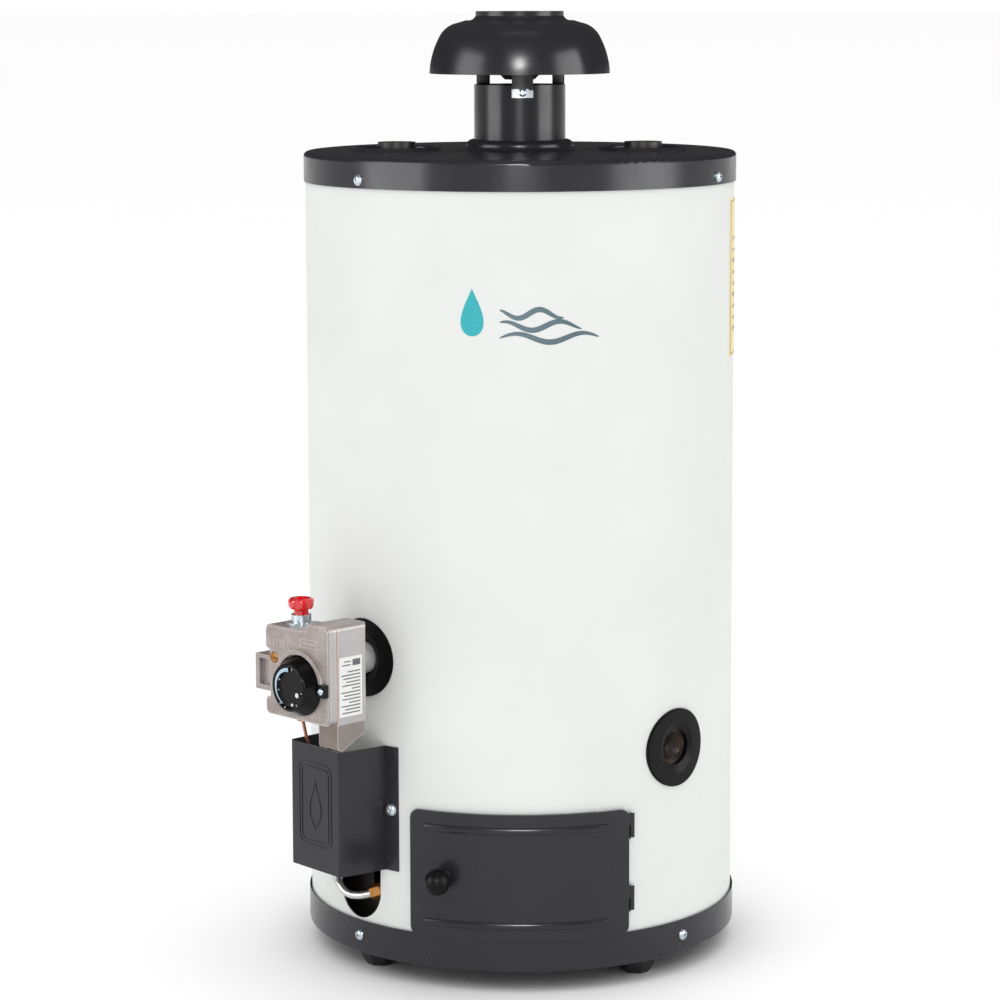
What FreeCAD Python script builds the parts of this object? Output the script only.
import FreeCAD, Part
import math
import os

# A small gas-fired storage water heater. Millimetres, +Z up, floor at z = 0.
# Everything is built about the tank's vertical axis and then shifted by TANK_AXIS, so that the
# origin is on the floor under the middle of the whole heater's footprint.
# Azimuths are in degrees about the tank axis: 0 is the front (-Y), +90 is the right side (+X).

V = FreeCAD.Vector
CENTRE = V(0, 0, 0)
UP = V(0, 0, 1)

# Driving dimensions
TANK_AXIS = V(17.2, 12.05, 0)
SHEET = 1.2
FIT = 0.05
GAP = 0.3

JACKET_R = 178.5
JACKET_SHEET = 1.0
JACKET_TOP = 650.0

PAN_R = 180.5
PAN_BOTTOM = 17.2
PAN_TOP = 44.5
PAN_HOLE_R = 60.0
FLOOR_TOP = PAN_BOTTOM + SHEET

FOOT_R = 150.0
FOOT_AZIMUTHS = {"front_right": 39.0, "rear_right": 129.0, "rear_left": -141.0, "front_left": -51.0}

LID_R = 180.0
LID_BOTTOM = 643.4
LID_TOP = 667.9
LID_HOLE_R = 33.0
PIPE_X = 102.6

TANK_R = 150.0
TANK_WALL = 2.5
TANK_BOTTOM = 150.0
TANK_TOP = 585.0
FOAM_TOP = 640.0
COUPLING_R = 15.75
COUPLING_TOP = 675.0
THREAD_LOW = 642.0
FLANGE_R = 11.8
FLANGE_TOP = 641.6
THREAD_R = 12.2

FLUE_R = 36.9
FLUE_WALL = 2.0
FLUE_TOP = 700.0
HOOD_PIPE_R = 38.0
HOOD_PIPE_TOP = 722.5
HOOD_RIM = 731.7
HOOD_R = 75.1
HOOD_SHEET = 1.2
OUTLET_R = 36.6
OUTLET_TOP = 783.0
LEG_AZIMUTHS = {"front": 3.4, "right": 121.0, "left": -126.0}

VALVE_AZ = -45.3
VALVE_Z = 264.0
VALVE_BACK = 31.0
VALVE_SPLIT = 62.0
VALVE_FACE = 71.0
SHANK_R = 12.8
INLET_U = -63.0

DRAIN_AZ = 44.7
DRAIN_Z = 189.6
DRAIN_END = 173.9
SLEEVE_END = 174.2

DIAL_U = 4.0
DIAL_Z = 252.0
DIAL_BACK = 71.6
DIAL_FRONT = 85.0
STOP_Z = 252.0

BUTTON_U = -18.0
BUTTON_N = 51.0
PLUNGER_R = 2.5

COVER_AZ = -49.3
COVER_FRONT = 41.0
COVER_HALF = 32.5
COVER_LOW = 92.0
COVER_HIGH = 194.5
COVER_SHEET = 1.0
FLANGE_NEAR = 11.6
FLANGE_FAR = 15.8

SHIELD_TOP = 35.2

SLOT_AZ = -47.9
SLOT_WIDTH = 50.5
SLOT_LOW = 45.9
SLOT_HIGH = 125.0

DOOR_LEFT_AZ = -29.4
DOOR_RIGHT_AZ = 28.6
DOOR_LOW = 43.0
DOOR_HIGH = 146.7
DOOR_IN = 180.9
DOOR_OUT = 182.0
DOOR_OPENING_AZ = 25.0
HINGE_AZ = 29.62
HINGE_R = 181.1
HINGE_LOWS = (63.0, 123.0)
KNUCKLE_R = 2.0
PIN_R = 1.0

KNOB_AZ = -20.0
KNOB_Z = 93.0
STEM_R = 5.0


# Drawing helpers

def side(r, z):
    """A point of a profile turned about the Z axis: radius and height."""
    return V(r, 0, z)


def plan(x, y):
    return V(x, y, 0)


def wall(x, z):
    return V(x, 0, z)


def outline(steps, plane=side):
    """Closed wire through steps: two numbers are a straight line to that point, and four are an
    arc through the first point to the second."""
    edges = []
    here = steps[0]
    for step in steps[1:] + steps[:1]:
        there = step[-2:]
        if len(step) == 4:
            edges.append(Part.Arc(plane(*here), plane(*step[:2]), plane(*there)).toShape())
        else:
            edges.append(Part.LineSegment(plane(*here), plane(*there)).toShape())
        here = there
    return Part.Wire(edges)


def corner_arc(before, corner, after, radius):
    """Start, middle and end of the arc that rounds a corner."""
    back = (before - corner).normalize()
    on = (after - corner).normalize()
    half = back.getAngle(on) / 2
    bisector = (back + on).normalize()
    reach = radius / math.tan(half)
    middle = corner + bisector * (radius / math.sin(half) - radius)
    return corner + back * reach, middle, corner + on * reach


def rounded(corners, plane=plan):
    """Closed wire through corners given as (a, b, radius); radius 0 is a sharp corner."""
    points = [plane(a, b) for a, b, _ in corners]
    edges = []
    ends = []
    for i, (_, _, radius) in enumerate(corners):
        if radius == 0:
            ends.append((points[i], points[i]))
            continue
        start, middle, end = corner_arc(points[i - 1], points[i], points[(i + 1) % len(points)], radius)
        edges.append(Part.Arc(start, middle, end).toShape())
        ends.append((start, end))
    for i, (start, _) in enumerate(ends):
        edges.append(Part.LineSegment(ends[i - 1][1], start).toShape())
    return Part.Wire(Part.__sortEdges__(edges))


def spun(steps, degrees=360):
    """Solid made by turning a (radius, height) profile about the Z axis."""
    return Part.Face(outline(steps)).revolve(CENTRE, UP, degrees)


def plate(wire, direction):
    return Part.Face(wire).extrude(direction)


def turn(shape, azimuth):
    return shape.rotated(CENTRE, UP, azimuth)


def tube(r_out, r_in, low, high):
    ring = Part.makeCylinder(r_out, high - low, V(0, 0, low))
    return ring.cut(Part.makeCylinder(r_in, high - low, V(0, 0, low)))


def sector(r_in, r_out, low, high, az_from, az_to):
    """Part of a ring between two azimuths."""
    steps = [(r_in, low), (r_out, low), (r_out, high), (r_in, high)]
    face = Part.Face(outline(steps)).rotated(CENTRE, UP, az_from - 90)
    return face.revolve(CENTRE, UP, az_to - az_from)


def spoke(radius, r_from, r_to, z, u=0.0):
    """Cylinder pointing out of the front of the tank between two distances from its axis."""
    return Part.makeCylinder(radius, r_to - r_from, V(u, -r_from, z), V(0, -1, 0))


def out_of_wall(shape, z, u=0.0, r=JACKET_R):
    """Stand a solid built about Z from the origin out of the wall at azimuth 0."""
    return shape.rotated(CENTRE, V(1, 0, 0), 90).translated(V(u, -r, z))


def box(x, y, z):
    """Box between pairs of coordinates."""
    return Part.makeBox(x[1] - x[0], y[1] - y[0], z[1] - z[0], V(x[0], y[0], z[0]))


def fused(first, *others):
    return first.fuse(list(others)).removeSplitter()


def at(azimuth, r, z):
    """Point at an azimuth, a distance from the tank axis and a height."""
    turned = math.radians(azimuth)
    return V(r * math.sin(turned), -r * math.cos(turned), z)


def swept_tube(points, radius):
    """Round bar along straight runs joined by arcs as large as the runs allow."""
    edges = []
    here = points[0]
    for before, corner, after in zip(points, points[1:], points[2:]):
        run = min((corner - before).Length, (after - corner).Length)
        half = (before - corner).getAngle(after - corner) / 2
        bend = 0.45 * run * math.tan(half)
        start, middle, end = corner_arc(before, corner, after, bend)
        edges.append(Part.LineSegment(here, start).toShape())
        edges.append(Part.Arc(start, middle, end).toShape())
        here = end
    edges.append(Part.LineSegment(here, points[-1]).toShape())
    path = Part.Wire(edges)
    section = Part.Wire(Part.makeCircle(radius, points[0], points[1] - points[0]))
    bar = path.makePipeShell([section], True, True)
    expected = math.pi * radius ** 2 * path.Length
    print("tube volume over section times length: %.4f" % (bar.Volume / expected))
    return bar


def pan_head_screw(length, head_r=3.9, head_h=2.3, shank_r=1.8):
    """Cross-recessed screw: the head's underside is at z = 0 and the shank points down."""
    head = spun([(0, 0), (head_r, 0), (head_r, 0.9), (head_r * 0.75, head_h * 0.9, 0, head_h)])
    cross = box((-2.1, 2.1), (-0.45, 0.45), (1.1, 3)).fuse(box((-0.45, 0.45), (-2.1, 2.1), (1.1, 3)))
    shank = Part.makeCylinder(shank_r, length, V(0, 0, -length))
    return fused(head.cut(cross), shank)


# Outer shell

def lid_screws():
    screw = out_of_wall(pan_head_screw(7, 4.5, 2.6), 650.0, r=LID_R)
    return Part.makeCompound([turn(screw, az) for az in (-45.5, 62.7, -172.0)])


def base_screws():
    screw = out_of_wall(pan_head_screw(7, 4.5, 2.6), 32.0, r=PAN_R)
    return Part.makeCompound([turn(screw, az) for az in (-47.0, 47.0, 133.0, -133.0)])


def obround(width, low, high, r_from, r_to):
    """Upright slot with round ends, cut out of the front wall."""
    half = width / 2
    steps = [(-half, low + half), (0, low, half, low + half), (half, high - half),
             (0, high, -half, high - half)]
    return plate(outline(steps, wall), V(0, r_from - r_to, 0)).translated(V(0, -r_from, 0))


def jacket(screws):
    shell = tube(JACKET_R, JACKET_R - JACKET_SHEET, FLOOR_TOP, JACKET_TOP)
    seam = sector(JACKET_R - 0.2, JACKET_R + 0.9, PAN_TOP + 3, LID_BOTTOM - 3, 177, 183)
    openings = [
        sector(170, 190, 52, 138, -DOOR_OPENING_AZ, DOOR_OPENING_AZ),
        turn(obround(SLOT_WIDTH, SLOT_LOW, SLOT_HIGH, 160, 190), SLOT_AZ),
        turn(spoke(24, 160, 190, VALVE_Z), VALVE_AZ),
        turn(spoke(24, 160, 190, DRAIN_Z), DRAIN_AZ),
    ]
    return fused(shell, seam).cut(openings + screws)


def lid(screws):
    """Pressed cover with a drawn collar round the flue and a rolled rim round each pipe hole."""
    cover = spun([
        (LID_R, LID_BOTTOM), (LID_R, 663.9), (178.83, 666.73, 176, LID_TOP), (50, 668.5),
        (46.5, 669.3, 44.6, 671.4), (43.3, 675.4, 38.4, 677.2), (38.4, 675.9),
        (42.1, 674.4, 43.4, 670.6), (46.0, 668.2, 50, 667.2), (176, 666.7),
        (178.0, 665.9, 178.8, 663.9), (178.8, LID_BOTTOM)])
    rim = spun([
        (LID_HOLE_R, 664.5), (LID_HOLE_R, 669.0), (34.7, 671.0, 37.0, 669.7), (38.6, 668.2),
        (38.6, 667.4), (34.2, 667.3), (34.2, 664.5)])
    hole = Part.makeCylinder(LID_HOLE_R + 0.1, 20, V(0, 0, 655))
    for x in (-PIPE_X, PIPE_X):
        cover = fused(cover.cut(hole.translated(V(x, 0, 0))), rim.translated(V(x, 0, 0)))
    return cover.cut(screws)


def base_pan(screws, feet):
    corner_r = PAN_R - 2
    pan = spun([
        (PAN_HOLE_R, PAN_BOTTOM), (corner_r, PAN_BOTTOM),
        (PAN_R - 0.6, PAN_BOTTOM + 0.6, PAN_R, PAN_BOTTOM + 2), (PAN_R, PAN_TOP),
        (PAN_R - SHEET, PAN_TOP), (PAN_R - SHEET, FLOOR_TOP + 0.8), (corner_r, FLOOR_TOP),
        (PAN_HOLE_R, FLOOR_TOP)])
    return pan.cut(screws + feet)


def foot():
    """Tapered eight-sided foot with a stud that is pushed through the pan."""
    def octagon(across, z):
        reach = across / 2 / math.cos(math.pi / 8)
        angles = [math.pi / 8 + i * math.pi / 4 for i in range(9)]
        return Part.makePolygon([V(reach * math.cos(a), reach * math.sin(a) - FOOT_R, z) for a in angles])
    body = Part.makeLoft([octagon(20, 0), octagon(24, 3), octagon(38, PAN_BOTTOM)], True, True)
    stud = Part.makeCylinder(4, 6.8, V(0, -FOOT_R - 8, PAN_BOTTOM - 1))
    return fused(body, stud)


def rating_label():
    return sector(JACKET_R, JACKET_R + 0.3, 499, 630, 75, 107)


# Tank and flue

def tank_shell(spuds):
    return tube(TANK_R, TANK_R - TANK_WALL, TANK_BOTTOM, TANK_TOP).cut(spuds)


def top_head(fittings):
    head = spun([
        (TANK_R, TANK_TOP), (TANK_R, 592), (146.8, 600.4, 138, 604), (FLUE_R, 611),
        (FLUE_R, 608.5), (137.6, 601.5), (145, 598.6, 147.5, 592), (147.5, TANK_TOP)])
    return head.cut(fittings)


def bottom_head():
    r = TANK_R - TANK_WALL
    return spun([
        (r, TANK_BOTTOM + 2), (r, 168), (r - 2.93, 175.07, r - 10, 178), (FLUE_R, 188),
        (FLUE_R, 185.5), (r - 10, 175.5), (r - 4.7, 173.3, r - 2.5, 168), (r - 2.5, TANK_BOTTOM + 2)])


def flue_tube():
    return tube(FLUE_R, FLUE_R - FLUE_WALL, 185.5, FLUE_TOP)


def flue_baffle():
    """Folded strip hung in the flue to slow the hot gas."""
    folds = 9
    pitch = 50.0
    swing = 14.0
    line = [(0, FLUE_TOP)] + [(swing if i % 2 else -swing, FLUE_TOP - 10 - i * pitch) for i in range(folds)]
    back = [(x + SHEET, z) for x, z in reversed(line)]
    strip = plate(outline(line + back, wall), V(0, 48, 0)).translated(V(0, -24, 0))
    hanger = box((-FLUE_R, FLUE_R), (-5, 5), (FLUE_TOP, FLUE_TOP + SHEET))
    return fused(strip, hanger.common(Part.makeCylinder(FLUE_R, 10, V(0, 0, FLUE_TOP - 1))))


def coupling(x):
    body = tube(COUPLING_R, THREAD_R, THREAD_LOW, COUPLING_TOP)
    seat = tube(COUPLING_R, FLANGE_R + FIT, FOAM_TOP, THREAD_LOW)
    lower = tube(COUPLING_R, 11.0, 598, FOAM_TOP)
    return fused(body, seat, lower).translated(V(x, 0, 0))


def dip_tube():
    flange = tube(FLANGE_R, 7.5, FOAM_TOP, FLANGE_TOP)
    return fused(flange, tube(9.0, 7.5, 215, FOAM_TOP)).translated(V(PIPE_X, 0, 0))


def anode_rod():
    """Outlet nipple with water windows and the sacrificial rod hanging from it."""
    nipple = fused(tube(FLANGE_R, 8.5, FOAM_TOP, FLANGE_TOP), tube(10.9, 8.5, 580, FOAM_TOP))
    windows = box((-15, 15), (-3, 3), (584, 596)).fuse(box((-3, 3), (-15, 15), (584, 596)))
    plug = Part.makeCylinder(8.6, 3, V(0, 0, 578)).fuse(Part.makeCylinder(10.9, 2, V(0, 0, 578)))
    rod = Part.makeCylinder(8, 338, V(0, 0, 240))
    return fused(nipple.cut(windows), plug, rod).translated(V(-PIPE_X, 0, 0))


def insulation(fittings):
    blanket = Part.makeCylinder(JACKET_R - JACKET_SHEET - 0.1, FOAM_TOP - TANK_BOTTOM, V(0, 0, TANK_BOTTOM))
    tank_space = spun([
        (0, TANK_BOTTOM), (TANK_R, TANK_BOTTOM), (TANK_R, 592), (146.8, 600.4, 138, 604),
        (FLUE_R, 611), (0, 611)])
    flue_space = Part.makeCylinder(FLUE_R + 0.1, 100, V(0, 0, 600))
    wall_holes = [
        turn(spoke(24, 130, 190, VALVE_Z), VALVE_AZ),
        turn(spoke(24, 130, 190, DRAIN_Z), DRAIN_AZ),
    ]
    return blanket.cut([tank_space, flue_space] + wall_holes + fittings)


def thermostat_spud():
    return turn(spoke(16, 147, 165, VALVE_Z).cut(spoke(SHANK_R, 140, 170, VALVE_Z)), VALVE_AZ)


def drain_spud():
    return turn(spoke(15.9, 147, DRAIN_END, DRAIN_Z).cut(spoke(THREAD_R, 140, 180, DRAIN_Z)), DRAIN_AZ)


def escutcheon(azimuth, z):
    """Rubber ring bent to the jacket, with a sleeve that runs in through the jacket's hole."""
    skin = tube(JACKET_R + 1.5, JACKET_R, z - 40, z + 40)
    crown = tube(JACKET_R + 2.3, JACKET_R + 1.4, z - 40, z + 40)
    ring = fused(spoke(32, 170, 190, z).common(skin), spoke(31, 170, 190, z).common(crown),
                 spoke(17.2, SLEEVE_END, JACKET_R + 1, z))
    dish = out_of_wall(spun([(0, -0.2), (14, -0.2), (24, 3), (0, 3)]), z)
    return turn(ring.cut([dish, spoke(14.6, 170, 190, z)]), azimuth)


# Draught hood

def hood_pipe(screws):
    pipe = tube(HOOD_PIPE_R, FLUE_R + 0.1, 664, HOOD_PIPE_TOP)
    return pipe.cut(screws)


def hood_dome():
    """Spun dome with a flared neck and the outlet collar on top."""
    outside = [
        (HOOD_R, HOOD_RIM), (72.6, 747.2, 67.2, 761.0), (60.8, 769.2, 51.5, 773.4),
        (45.0, 775.4), (38.8, 776.5, OUTLET_R, 779.0), (OUTLET_R, OUTLET_TOP)]
    inside = [
        (OUTLET_R - HOOD_SHEET, OUTLET_TOP), (OUTLET_R - HOOD_SHEET, 778.6),
        (38.0, 775.5, 44.6, 774.2), (51.0, 772.2), (60.0, 768.2, 66.1, 760.4),
        (71.4, 746.8, HOOD_R - HOOD_SHEET, HOOD_RIM)]
    return spun(outside + inside)


def hood_leg(azimuth, screws):
    """Bent strap from the pipe up to the inside of the dome."""
    bend = 744.0
    strap = sector(HOOD_PIPE_R, HOOD_PIPE_R + SHEET, 712.3, bend, -13, 13)
    arm = box((-8.6, 8.6), (-76, -HOOD_PIPE_R), (bend - 1, bend - 1 + SHEET))
    arm = arm.rotated(V(0, -HOOD_PIPE_R, bend - 1), V(1, 0, 0), -24)
    inner = Part.makeCylinder(HOOD_PIPE_R, 60, V(0, 0, 700))
    space = spun([(0, 700), (HOOD_R - HOOD_SHEET, 700), (HOOD_R - HOOD_SHEET, HOOD_RIM),
                  (71.4, 746.8, 66.1, 760.4), (60.0, 768.2, 51.0, 772.2), (0, 772.2)])
    leg = fused(strap, arm).cut(inner).common(space)
    return turn(leg, azimuth).cut(screws)


def hood_baffle(legs):
    """Shallow dished plate that turns a down-draught aside."""
    plate_shape = spun([
        (0, 726.6), (12.5, 726.6), (17.9, 731.9), (HOOD_PIPE_R + 0.6, 743.0), (HOOD_PIPE_R + 0.6, 744.2),
        (17.4, 733.1), (12.0, 727.8), (0, 727.8)])
    return plate_shape.cut(legs)


def hood_screws():
    screw = out_of_wall(pan_head_screw(4, 3.4, 2.0, 1.6), 716.6, r=HOOD_PIPE_R + SHEET)
    return Part.makeCompound([turn(screw, az) for az in LEG_AZIMUTHS.values()])


# Gas control. Its solids are drawn with u to the right and n outwards from the jacket, then
# turned to VALVE_AZ.

def valve_point(u, n):
    return V(u, -(JACKET_R + n), 0)


def control_face(depth_from, depth_to, inset=0.0, notch=False):
    """The control's front outline, stepped down at its upper left, as a slab between two depths."""
    low = 223 + inset
    left = -39.5 + inset
    right = 37.5 - inset
    steps = [
        (left, low, 4), (right, low, 5), (right, 302.5 - inset, 4), (13, 302.5 - inset, 1),
        (9, 296 - inset, 1), (left, 296 - inset, 4)]
    if notch:
        steps += [(left, 277 + inset, 1), (-34.3 + inset, 275 + inset, 1), (-34.3 + inset, 238 - inset, 1),
                  (left, 236 - inset, 1)]
    slab = plate(rounded(steps, wall), V(0, depth_from - depth_to, 0))
    return slab.translated(V(0, -(JACKET_R + depth_from), 0))


def valve_body(shank, screws):
    """Rear casting with the gas inlet on its left and the burner outlet block below."""
    block = control_face(VALVE_BACK, VALVE_SPLIT)
    footprint = rounded([(-40, 45, 3), (-40, 70, 0), (38, 70, 0), (38, VALVE_BACK, 3), (-8, VALVE_BACK, 4)],
                        valve_point)
    block = block.common(plate(footprint, V(0, 0, 400)))
    outlet = rounded([(33, 214, 1), (33, 240, 0), (VALVE_SPLIT, 240, 0), (VALVE_SPLIT, 203, 3),
                      (57.5, 201.5, 2)], lambda n, z: V(15, -(JACKET_R + n), z))
    outlet_block = plate(outlet, V(22.5, 0, 0))
    inlet = box((INLET_U, -28), (-(JACKET_R + 61.5), -(JACKET_R + 35)), (238.5, 267.5))
    inlet_bore = Part.makeCylinder(9.0, 16, V(INLET_U, -(JACKET_R + 47), 253), V(1, 0, 0))
    pocket = box((-58.5, -45), (-(JACKET_R + 70), -(JACKET_R + 57)), (242.5, 264.5))
    rod_bore = Part.makeCylinder(PLUNGER_R + FIT, 20, V(BUTTON_U, -(JACKET_R + BUTTON_N), 280))
    stem_bore = spoke(4.0 + FIT, JACKET_R + 52, JACKET_R + 80, DIAL_Z, DIAL_U)
    casting = fused(block, outlet_block, inlet).cut([inlet_bore, pocket, rod_bore, stem_bore])
    return turn(casting, VALVE_AZ).cut([shank, screws])


def valve_gasket(screws):
    stem_hole = spoke(8, JACKET_R + 50, JACKET_R + 80, DIAL_Z, DIAL_U)
    gasket = control_face(VALVE_SPLIT, VALVE_SPLIT + 0.8, notch=True).cut(stem_hole)
    return turn(gasket, VALVE_AZ).cut(screws)


def valve_cover(screws):
    """Front casting: a stepped face with a raised collar over the top of the dial."""
    plain = control_face(VALVE_SPLIT + 0.8, VALVE_FACE - 1.2, notch=True)
    raised = control_face(VALVE_FACE - 1.2, VALVE_FACE, inset=1.0, notch=True)
    centre = V(DIAL_U, -JACKET_R, DIAL_Z)
    collar = Part.makeCylinder(28.5, 11.6, centre + V(0, -(VALVE_SPLIT + 0.9), 0), V(0, -1, 0))
    below = box((-60, 60), (-300, -200), (200, STOP_Z + 5.4))
    collar = collar.cut(below)
    well = spoke(25.4, JACKET_R + VALVE_FACE, JACKET_R + 90, DIAL_Z, DIAL_U)
    stem_bore = spoke(4.0 + FIT, JACKET_R + 50, JACKET_R + 90, DIAL_Z, DIAL_U)
    brass_seat = spoke(4.8, JACKET_R + VALVE_FACE - 3, JACKET_R + 90, 270, -28.5)
    casting = fused(plain, raised, collar).cut([well, stem_bore, brass_seat])
    return turn(casting, VALVE_AZ).cut(screws)


def valve_shank():
    tube_solid = spoke(SHANK_R, 152, JACKET_R + VALVE_BACK + 6, VALVE_Z)
    return turn(tube_solid.cut(spoke(4.8, 150, 230, VALVE_Z)), VALVE_AZ)


def sensing_probe():
    tip = spun([(0, 0), (2.2, 0.5, 4.8, 4), (4.8, 140), (0, 140)])
    return turn(out_of_wall(tip, VALVE_Z, r=62), VALVE_AZ)


def valve_screws():
    """Long screws from the back of the control, and the one that holds the dial's stop."""
    places = ((-4, 229), (31.5, 229.5), (31.5, 296.5), (-4, 290))
    long_screw = pan_head_screw(35, 3.0, 2.0, 1.6).rotated(CENTRE, V(1, 0, 0), 180)
    screws = [out_of_wall(long_screw, z, u, JACKET_R + VALVE_BACK) for u, z in places]
    stop_screw = pan_head_screw(8, 2.7, 1.8, 1.4)
    screws.append(out_of_wall(stop_screw, STOP_Z, 33.6, JACKET_R + VALVE_FACE + 5))
    return Part.makeCompound([turn(screw, VALVE_AZ) for screw in screws])


def regulator_screw():
    base = VALVE_FACE - 3
    head = spun([(0, 0), (4.6, 0), (4.6, 3.2), (4.1, 3.8, 3.4, 4.0), (0, 4.0)])
    slot = box((-5, 5), (-0.6, 0.6), (2.6, 5))
    return turn(out_of_wall(head.cut(slot), 270, -28.5, JACKET_R + base), VALVE_AZ)


def dial_stop(screws):
    """Black stop bracket beside the dial."""
    face = -(JACKET_R + VALVE_FACE)
    lug = box((29.9, 37.0), (face - 5, face), (STOP_Z - 5.2, STOP_Z + 5.2))
    return turn(lug, VALVE_AZ).cut(screws)


def temperature_dial():
    """Hollow-backed knob, wider at its foot, on a short stem."""
    height = DIAL_FRONT - DIAL_BACK
    skin = spun([
        (0, height - 2.2), (16.2, height - 2.2), (16.8, height), (17.8, height),
        (18.9, height - 0.3, 19.4, height - 1.5), (24.3, 1.2), (24.4, 0), (22.6, 0),
        (18.2, height - 4), (4, height - 4), (4, -16), (0, -16)])
    return turn(out_of_wall(skin, DIAL_Z, DIAL_U, JACKET_R + DIAL_BACK), VALVE_AZ)


def pilot_button():
    """Red cap with finger lobes on a neck and a thin plunger."""
    cap = spun([
        (0, 315.1), (4.5, 315.1), (5.8, 316.9), (7.9, 317.1), (9.7, 316.4, 10.4, 314.4), (10.0, 310.6),
        (9.1, 308.8), (6.6, 308.0), (6.0, 307.4), (6.0, 301.4), (PLUNGER_R, 301.4), (PLUNGER_R, 288),
        (0, 288)])
    lobes = 6
    for i in range(lobes):
        angle = 2 * math.pi * i / lobes
        scallop = Part.makeCylinder(3.2, 14, V(12.3 * math.cos(angle), 12.3 * math.sin(angle), 306))
        cap = cap.cut(scallop)
    return turn(cap.translated(V(BUTTON_U, -(JACKET_R + BUTTON_N), 0)), VALVE_AZ)


def button_guard():
    """Bright collar and foot plate that guide the button."""
    plate_shape = box((-9.5, 9.5), (-7.5, 7.5), (296, 297.2))
    collar = tube(8.2, 6.35, 297.2, 304.0)
    lug = box((2.5, 8.5), (-14.5, -7.5), (296, 298.6))
    bore = Part.makeCylinder(6.35, 4, V(0, 0, 295))
    guard = fused(plate_shape, collar, lug).cut(bore)
    return turn(guard.translated(V(BUTTON_U, -(JACKET_R + BUTTON_N), 0)), VALVE_AZ)


# Burner tubes, in azimuth, distance from the tank axis and height

def burner_tube():
    route = [at(-48.6, 213, 217), at(-48.8, 212.5, 150), at(-54.5, 196, 104), at(-55.6, 186, 76),
             at(-51.2, 183.3, 63.2), at(-46.6, 177, 64.5), at(-43.0, 171.5, 69.0)]
    return swept_tube(route, 3.2)


def pilot_tube():
    route = [at(-45.5, 214, 217), at(-45.6, 212, 165), at(-46.2, 196, 126), at(-46.6, 170, 108),
             at(-46.8, 140, 105), at(-46.8, 112, 105)]
    return swept_tube(route, 2.0)


def thermocouple_lead():
    route = [at(-50.6, 227.5, 217), at(-52.8, 219.5, 205), at(-54.6, 211.5, 188), at(-54.6, 207, 140),
             at(-51.6, 186, 112), at(-49.6, 160, 100), at(-49.6, 116, 98)]
    return swept_tube(route, 1.4)


def tube_nuts(tubes):
    """Hexagon nuts under the control, one on each tube."""
    def hexagon(across, low, high):
        reach = across / 2 / math.cos(math.pi / 6)
        corners = [V(reach * math.cos(i * math.pi / 3), reach * math.sin(i * math.pi / 3), low) for i in range(7)]
        return plate(Part.makePolygon(corners), V(0, 0, high - low))
    sizes = (((-48.6, 213.0), 12.0), ((-45.5, 214.0), 9.0), ((-50.6, 227.5), 8.0))
    nuts = [hexagon(across, 216, 223).translated(at(*place, 0)) for place, across in sizes]
    return Part.makeCompound([nut.cut(tubes) for nut in nuts])


# Burner and combustion chamber

def orifice_fitting(burner_line):
    """Brass elbow at the end of the burner tube, with its nut and the orifice in the mixer."""
    end = at(-43.0, 171.5, 69.0)
    before = at(-46.6, 177, 64.5)
    along = (end - before).normalize()
    nut = Part.makeCylinder(7.0, 9, end - along * 5, along)
    for i in range(6):
        flat = Part.makeBox(20, 20, 30, V(6.0, -10, -15)).rotated(CENTRE, UP, 60 * i)
        placement = FreeCAD.Placement(end, FreeCAD.Rotation(UP, along))
        nut = nut.cut(flat.transformed(placement.toMatrix()))
    ball = Part.makeSphere(7.2, end + along * 8)
    stem = Part.makeCylinder(4.5, 26, end + along * 8, (at(-46.0, 140, 72) - end).normalize())
    return fused(nut, ball, stem).cut(burner_line)


def combustion_skirt():
    skirt = tube(TANK_R, TANK_R - 1.5, FLOOR_TOP, TANK_BOTTOM)
    openings = [
        sector(140, 160, 58, 132, -22, 22),
        turn(obround(44, 50, 128, 130, 165), SLOT_AZ + 1.5),
    ]
    return skirt.cut(openings)


def main_burner():
    """Round pan burner with a ring of ports under its cap."""
    body = spun([
        (10.5, 84), (13, 84), (60, 88), (70, 94), (70, 99), (63, 103.6, 40, 106), (0, 106), (0, 104),
        (40, 104), (61.5, 101.8, 68.4, 98.2), (68.4, 95), (59.4, 89.6), (12, 85.6), (10.5, 85.6)])
    ports = [turn(spoke(1.6, 60, 75, 96.7), i * 15) for i in range(24)]
    return body.cut(ports)


def burner_mixer(fitting):
    """Mixer tube from the orifice to the middle of the burner."""
    arm = fused(spoke(12, 0, 138, 72), Part.makeCylinder(12, 12, V(0, 0, 72)), Part.makeSphere(12, V(0, 0, 72)))
    bore = fused(spoke(10.5, 0, 140, 72), Part.makeSphere(10.5, V(0, 0, 72)))
    throat = Part.makeCylinder(10.5, 14, V(0, 0, 72))
    post = Part.makeCylinder(5, 26, V(0, 0, SHIELD_TOP))
    arm = turn(fused(arm.cut(bore).cut(throat), post.cut(bore)), -46.0)
    return arm.cut(fitting)


def pilot_burner(lines):
    """Small hooded pilot and bracket standing beside the burner, holding the thermocouple's tip."""
    block = box((-24, 10), (-118, -104), (92, 110))
    hood = box((-8, 8), (-112, -86), (110, 111.5))
    post = box((-24, -18), (-114, -108), (FLOOR_TOP, 92))
    return turn(fused(block, hood, post), -48.2).cut(lines)


def radiation_shield(standing):
    """Raised disc under the burner that keeps heat off the floor and lets air in."""
    low = SHIELD_TOP - SHEET
    disc = spun([(0, low), (112, low), (112, 40), (110.8, 40), (110.8, SHIELD_TOP), (0, SHIELD_TOP)])
    legs = [turn(box((-6, 6), (-101.2, -100), (FLOOR_TOP, low)), az) for az in (0, 90, 180, 270)]
    return fused(disc, *legs).cut(standing)


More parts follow.
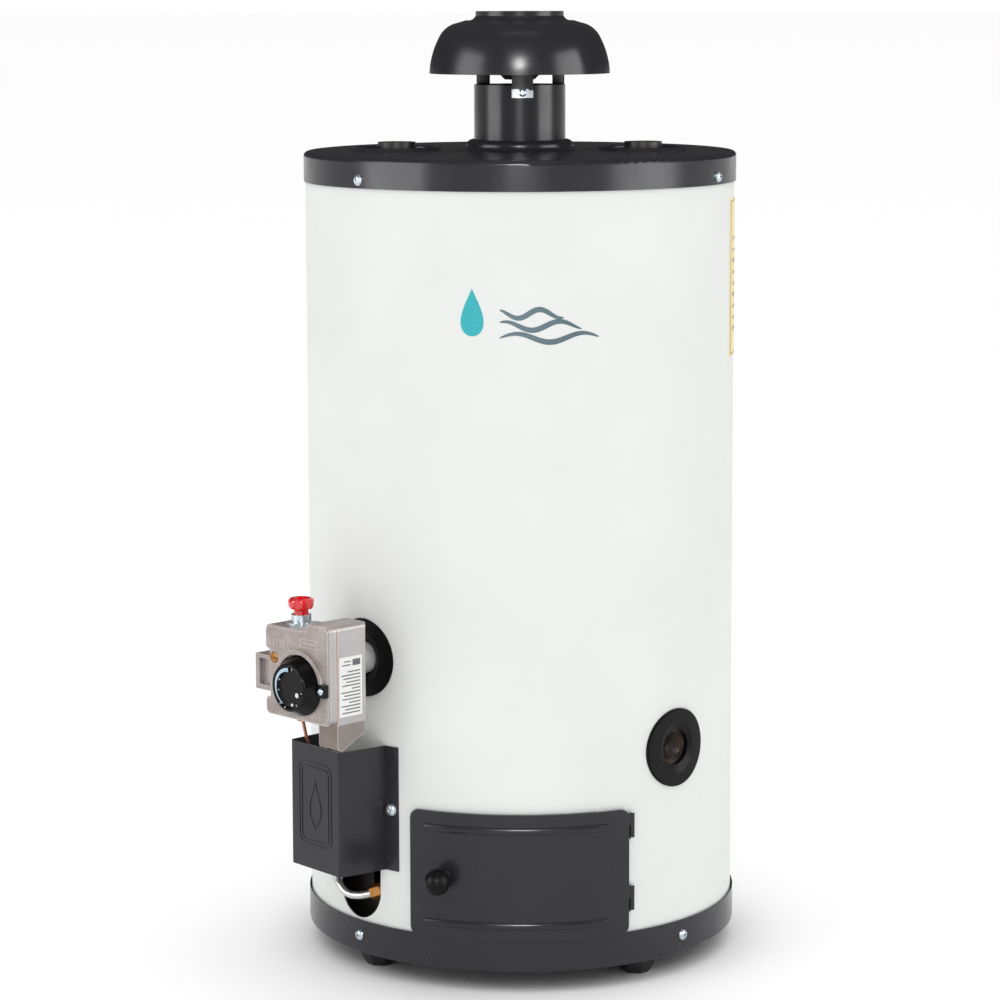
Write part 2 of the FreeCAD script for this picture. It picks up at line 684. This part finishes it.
def inner_door():
    """Lift-off plate over the combustion chamber's opening, with a bent finger tab."""
    cover = sector(TANK_R, TANK_R + 1.0, 50, 140, -27, 27)
    tab = box((-14, 14), (-(TANK_R + 9), -TANK_R), (108, 109.2))
    turned = box((-14, 14), (-(TANK_R + 9), -(TANK_R + 7.8)), (100, 109.2))
    return fused(cover, tab, turned)


# Access door with its hinges and latch

def door_profile(inset, r_in, r_out):
    """Curved sheet with rounded corners, seen from the front."""
    left = DOOR_OUT * math.sin(math.radians(DOOR_LEFT_AZ)) + inset
    right = DOOR_OUT * math.sin(math.radians(DOOR_RIGHT_AZ)) - inset
    corner = 7.5 - inset
    front = rounded([(left, DOOR_LOW + inset, corner), (right, DOOR_LOW + inset, corner),
                     (right, DOOR_HIGH - inset, corner), (left, DOOR_HIGH - inset, corner)], wall)
    column = plate(front, V(0, -90, 0)).translated(V(0, -110, 0))
    return tube(r_out, r_in, DOOR_LOW, DOOR_HIGH).common(column)


def hinge_column(radius, low, high):
    return Part.makeCylinder(radius, high - low, at(HINGE_AZ, HINGE_R, low))


def access_door(stem):
    sheet = door_profile(0, DOOR_IN, DOOR_OUT)
    lip = door_profile(0, JACKET_R + GAP, DOOR_IN).cut(door_profile(1.1, JACKET_R - 2, DOOR_IN + 2))
    lip = lip.cut([box((-200, 200), (-200, 0), (0, PAN_TOP + 1.5)), box((60, 200), (-200, 0), (0, 200))])
    rib_profile = [(DOOR_OUT - 0.3, -3.2), (DOOR_OUT, -3.2), (DOOR_OUT + 1.5, 0, DOOR_OUT, 3.2),
                   (DOOR_OUT - 0.3, 3.2)]
    rib = turn(spun(rib_profile, 47.8), -25.3 - 90)
    ribs = [rib.translated(V(0, 0, z)) for z in (133.4, 55.5)]
    door = fused(sheet, lip, *ribs)
    for low in HINGE_LOWS:
        loop_low = low + 10 + GAP
        loop_high = low + 20
        strap = sector(DOOR_IN, DOOR_OUT, loop_low, loop_high, DOOR_RIGHT_AZ - 1, HINGE_AZ)
        door = fused(door, strap, hinge_column(KNUCKLE_R, loop_low, loop_high))
        door = door.cut(hinge_column(PIN_R + FIT, loop_low - 1, loop_high + 1))
    clearance = turn(spoke(STEM_R + FIT, 160, 200, KNOB_Z), KNOB_AZ)
    return door.cut(clearance)


def hinge_leaves(pins):
    """Two leaves welded to the jacket behind the door, each rolled into a knuckle."""
    leaves = []
    for low in HINGE_LOWS:
        leaf = sector(JACKET_R, JACKET_R + 0.9, low - 2, low + 10, 25.6, HINGE_AZ)
        leaves.append(fused(leaf, hinge_column(KNUCKLE_R, low, low + 10)).cut(pins))
    return Part.makeCompound(leaves)


def hinge_pins():
    pins = []
    for low in HINGE_LOWS:
        shaft = hinge_column(PIN_R, low, low + 20 + GAP)
        pins.append(fused(shaft, hinge_column(1.6, low + 20 + GAP, low + 21 + GAP)))
    return Part.makeCompound(pins)


def door_knob():
    """Ball knob with its neck and the stem that passes through the door."""
    turned = spun([
        (0, -12), (STEM_R, -12), (STEM_R, 0.3), (8.2, 0.3), (8.2, 1.6), (5.6, 2.6), (5.0, 9.0), (0, 9.0)])
    ball = Part.makeSphere(10.5, V(0, 0, 14.5))
    return turn(out_of_wall(fused(turned, ball), KNOB_Z, r=DOOR_OUT), KNOB_AZ)


def latch_cam(knob):
    cam_wire = rounded([(-8, -8, 6), (8, -8, 6), (3.6, 22, 3), (-3.6, 22, 3)], wall)
    cam = plate(cam_wire, V(0, -2, 0)).translated(V(0, -(DOOR_OUT - 9.5), KNOB_Z))
    return turn(cam, KNOB_AZ).cut(knob)


# Cover over the burner tubes

def cover_screws():
    screw = out_of_wall(pan_head_screw(7, 5.0, 2.9), 142.5, r=JACKET_R + COVER_SHEET)
    middle = (FLANGE_NEAR + FLANGE_FAR) / 2
    return Part.makeCompound([turn(screw, COVER_AZ + middle), turn(screw, COVER_AZ - middle)])


def control_cover(screws):
    """Folded sheet box, open above and below, with a flange down each side."""
    height = COVER_HIGH - COVER_LOW
    bend_out = 2.6
    bend_in = bend_out - COVER_SHEET
    foot_r = JACKET_R - 6
    foot_u = JACKET_R * math.sin(math.radians(FLANGE_NEAR)) + 0.5
    back = foot_r - JACKET_R
    inner_front = COVER_FRONT - COVER_SHEET
    channel = rounded([
        (-foot_u, back, 0), (-COVER_HALF, COVER_FRONT, bend_out), (COVER_HALF, COVER_FRONT, bend_out),
        (foot_u, back, 0), (foot_u - COVER_SHEET, back, 0), (COVER_HALF - COVER_SHEET, inner_front, bend_in),
        (COVER_SHEET - COVER_HALF, inner_front, bend_in), (COVER_SHEET - foot_u, back, 0)], valve_point)
    box_shape = plate(channel, V(0, 0, height)).translated(V(0, 0, COVER_LOW))
    box_shape = box_shape.cut(Part.makeCylinder(JACKET_R, height, V(0, 0, COVER_LOW)))
    r_out = JACKET_R + COVER_SHEET
    right = sector(JACKET_R, r_out, COVER_LOW, COVER_HIGH, FLANGE_NEAR, FLANGE_FAR)
    left = sector(JACKET_R, r_out, COVER_LOW, COVER_HIGH, -FLANGE_FAR, -FLANGE_NEAR)
    return turn(fused(box_shape, right, left), COVER_AZ).cut(screws)


def build():
    """Every sub-part about the tank axis, by node name."""
    parts = {}
    parts["lid_screws"] = lid_screws()
    parts["base_screws"] = base_screws()
    parts["cover_screws"] = cover_screws()
    parts["hood_screws"] = hood_screws()
    parts["valve_screws"] = valve_screws()
    for name, azimuth in FOOT_AZIMUTHS.items():
        parts["foot_" + name] = turn(foot(), azimuth)
    feet = [parts["foot_" + name] for name in FOOT_AZIMUTHS]

    parts["jacket"] = jacket([parts["lid_screws"], parts["base_screws"], parts["cover_screws"]])
    parts["lid"] = lid(parts["lid_screws"])
    parts["base_pan"] = base_pan([parts["base_screws"]], feet)
    parts["rating_label"] = rating_label()

    parts["thermostat_spud"] = thermostat_spud()
    parts["drain_spud"] = drain_spud()
    parts["cold_coupling"] = coupling(PIPE_X)
    parts["hot_coupling"] = coupling(-PIPE_X)
    spud_holes = [turn(spoke(16, 140, 160, VALVE_Z), VALVE_AZ), turn(spoke(15.9, 140, 160, DRAIN_Z), DRAIN_AZ)]
    coupling_holes = [Part.makeCylinder(COUPLING_R, 100, V(x, 0, 590)) for x in (-PIPE_X, PIPE_X)]
    parts["tank_shell"] = tank_shell(spud_holes)
    parts["tank_top_head"] = top_head(coupling_holes)
    parts["tank_bottom_head"] = bottom_head()
    parts["flue_tube"] = flue_tube()
    parts["flue_baffle"] = flue_baffle()
    parts["insulation"] = insulation(coupling_holes)
    parts["dip_tube"] = dip_tube()
    parts["anode_rod"] = anode_rod()
    parts["drain_escutcheon"] = escutcheon(DRAIN_AZ, DRAIN_Z)
    parts["valve_escutcheon"] = escutcheon(VALVE_AZ, VALVE_Z)

    parts["hood_pipe"] = hood_pipe(parts["hood_screws"])
    parts["hood_dome"] = hood_dome()
    for name, azimuth in LEG_AZIMUTHS.items():
        parts["hood_leg_" + name] = hood_leg(azimuth, parts["hood_screws"])
    parts["hood_baffle"] = hood_baffle([parts["hood_leg_" + name] for name in LEG_AZIMUTHS])

    parts["valve_shank"] = valve_shank()
    parts["sensing_probe"] = sensing_probe()
    parts["valve_body"] = valve_body(parts["valve_shank"], parts["valve_screws"])
    parts["valve_gasket"] = valve_gasket(parts["valve_screws"])
    parts["valve_cover"] = valve_cover(parts["valve_screws"])
    parts["regulator_screw"] = regulator_screw()
    parts["dial_stop"] = dial_stop(parts["valve_screws"])
    parts["temperature_dial"] = temperature_dial()
    parts["pilot_button"] = pilot_button()
    parts["button_guard"] = button_guard()

    parts["burner_tube"] = burner_tube()
    parts["pilot_tube"] = pilot_tube()
    parts["thermocouple_lead"] = thermocouple_lead()
    lines = [parts["burner_tube"], parts["pilot_tube"], parts["thermocouple_lead"]]
    parts["tube_nuts"] = tube_nuts(lines)
    parts["orifice_fitting"] = orifice_fitting(parts["burner_tube"])
    parts["combustion_skirt"] = combustion_skirt()
    parts["main_burner"] = main_burner()
    parts["burner_mixer"] = burner_mixer(parts["orifice_fitting"])
    parts["pilot_burner"] = pilot_burner(lines)
    parts["radiation_shield"] = radiation_shield(parts["pilot_burner"])
    parts["inner_door"] = inner_door()

    parts["door_knob"] = door_knob()
    parts["latch_cam"] = latch_cam(parts["door_knob"])
    parts["access_door"] = access_door(parts["door_knob"])
    parts["hinge_pins"] = hinge_pins()
    parts["hinge_leaves"] = hinge_leaves(parts["hinge_pins"])
    parts["control_cover"] = control_cover([parts["cover_screws"]])
    return parts


os.makedirs("parts", exist_ok=True)
for node, shape in build().items():
    placed = shape.translated(TANK_AXIS)
    placed.exportStep("parts/%s.step" % node)
